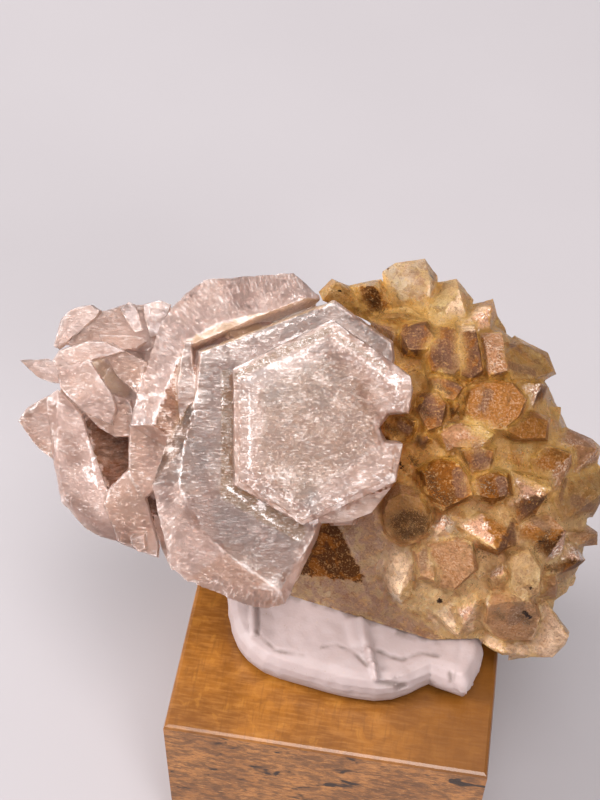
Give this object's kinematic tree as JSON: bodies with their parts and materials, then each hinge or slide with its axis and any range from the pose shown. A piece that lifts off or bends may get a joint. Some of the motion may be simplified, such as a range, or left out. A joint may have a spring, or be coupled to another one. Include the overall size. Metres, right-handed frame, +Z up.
{
  "type": "calcite with quartz specimen",
  "caption": "Mineral specimen of pale calcite plates grown on golden quartz points, fixed with white putty on a small wood display block.",
  "frame": {"origin": "centre of the wood block's underside", "axes": "+Z up, +X to the right along the block's front edge, +Y towards the back. The specimen's face looks up and towards -Y."},
  "size_m": [0.0737, 0.0534, 0.0694],
  "materials": {
    "wood_block": "lacquered",
    "putty": "matt",
    "quartz_cluster": "glassy, coated in places",
    "calcite_cluster": "glassy to frosted"
  },
  "bodies": {
    "root": {"wood_block": "wood_block", "putty": "putty", "quartz_cluster": "quartz_cluster", "calcite_cluster": "calcite_cluster"}
  },
  "joints": []
}
